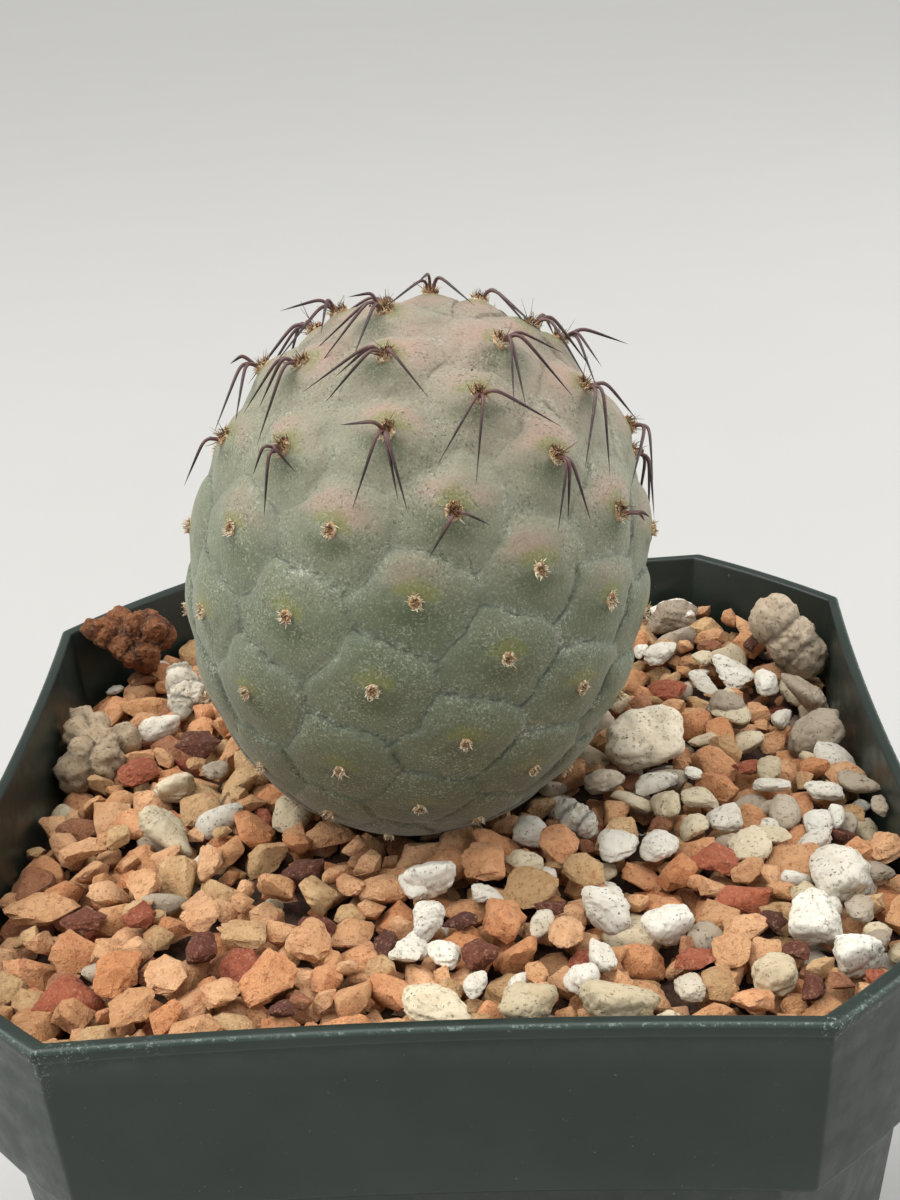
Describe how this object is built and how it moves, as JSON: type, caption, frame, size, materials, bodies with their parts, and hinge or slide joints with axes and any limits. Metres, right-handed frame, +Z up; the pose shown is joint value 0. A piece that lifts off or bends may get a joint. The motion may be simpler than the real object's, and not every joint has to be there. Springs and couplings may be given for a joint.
{
  "type": "potted tephrocactus geometricus",
  "caption": "Egg-shaped cactus with low six-sided tubercles and curved dark spines round its crown, standing in tan grit and pumice in a square dark green nursery pot.",
  "frame": {"origin": "middle of the pot's foot, on the surface that the pot stands on", "axes": "+Z up, -Y towards the pot's front, the side that the stem's best-kept face looks to"},
  "size_m": [0.101, 0.101, 0.1414],
  "materials": {
    "pot_plastic": "moulded dark green polypropylene, satin, with pale scuffs on the rim",
    "grit_clay": "broken fired clay, matt, tan to orange",
    "stem_skin": "grey-green plant skin with a pale bloom",
    "spines_and_wool": "dark brown spines from tan woolly pads",
    "pumice_white": "porous stone, matt, white with dark specks",
    "pumice_grey": "porous stone, matt, warm grey",
    "pumice_beige": "porous stone, matt, beige",
    "clay_red": "lumpy fired clay, matt, red-brown"
  },
  "bodies": {
    "root": {"pot": "pot_plastic", "grit": "grit_clay", "cactus_stem": "stem_skin", "grey_pumice_right_back": "pumice_grey", "grey_pumice_right_middle": "pumice_grey", "grey_pumice_right_wall": "pumice_grey", "grey_pumice_right_inner": "pumice_grey", "grey_pumice_back": "pumice_grey", "grey_pumice_beside_stem": "pumice_grey", "grey_pumice_left_wall": "pumice_grey", "white_pumice_large": "pumice_white", "white_pumice_before_stem": "pumice_white", "white_pumice_beside_stem": "pumice_white", "white_pumice_front": "pumice_white", "white_pumice_inner_left": "pumice_white", "white_pumice_inner_right": "pumice_white", "white_pumice_corner_upper": "pumice_white", "white_pumice_corner_lower": "pumice_white", "white_pumice_right_edge": "pumice_white", "white_pumice_left": "pumice_white", "white_pumice_left_small": "pumice_white", "beige_pumice_left_front": "pumice_beige", "beige_pumice_left": "pumice_beige", "beige_pumice_round": "pumice_beige", "beige_pumice_front_left": "pumice_beige", "beige_pumice_front_middle": "pumice_beige", "beige_pumice_front_right": "pumice_beige", "clay_clump": "clay_red", "spiny_areole_01": "spines_and_wool", "spiny_areole_02": "spines_and_wool", "spiny_areole_03": "spines_and_wool", "spiny_areole_04": "spines_and_wool", "spiny_areole_05": "spines_and_wool", "spiny_areole_06": "spines_and_wool", "spiny_areole_07": "spines_and_wool", "spiny_areole_08": "spines_and_wool", "spiny_areole_09": "spines_and_wool", "spiny_areole_10": "spines_and_wool", "spiny_areole_11": "spines_and_wool", "spiny_areole_12": "spines_and_wool", "spiny_areole_13": "spines_and_wool", "spiny_areole_14": "spines_and_wool", "spiny_areole_15": "spines_and_wool", "spiny_areole_16": "spines_and_wool", "spiny_areole_17": "spines_and_wool", "spiny_areole_18": "spines_and_wool", "spiny_areole_19": "spines_and_wool", "spiny_areole_20": "spines_and_wool", "spiny_areole_21": "spines_and_wool", "spiny_areole_22": "spines_and_wool", "spiny_areole_23": "spines_and_wool", "spiny_areole_24": "spines_and_wool", "spiny_areole_25": "spines_and_wool", "spiny_areole_26": "spines_and_wool", "spiny_areole_27": "spines_and_wool"}
  },
  "joints": []
}
